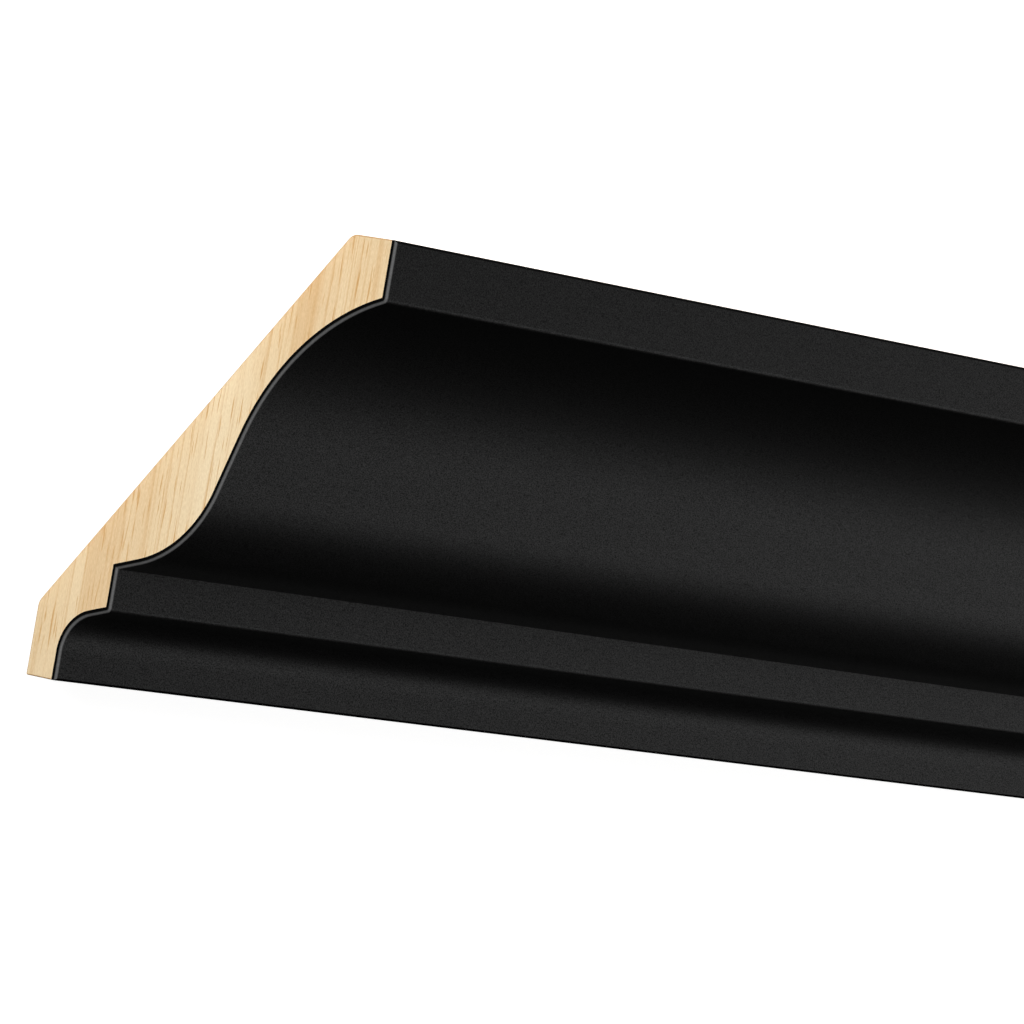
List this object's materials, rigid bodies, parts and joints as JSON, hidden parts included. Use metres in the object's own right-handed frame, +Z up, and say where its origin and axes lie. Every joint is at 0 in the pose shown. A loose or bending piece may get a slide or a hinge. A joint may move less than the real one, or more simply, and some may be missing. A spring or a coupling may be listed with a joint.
{
  "type": "cornice moulding",
  "caption": "Straight stock length of sprung cornice moulding: pale timber with a black-faced ogee, cove and fillets, flat back and square-cut ends, to span a wall and ceiling corner.",
  "frame": {"origin": "centre of the moulding's footprint, on the floor under its flat back", "axes": "+X along the length, +Y across the back from the wall edge to the ceiling edge, +Z up out of the show face"},
  "size_m": [2.4, 0.1172, 0.0165],
  "materials": {
    "timber": "bare, sawn and planed",
    "black_facing": "black, low sheen, finely textured"
  },
  "bodies": {
    "root": {"timber_core": "timber", "black_facing": "black_facing"}
  },
  "joints": []
}
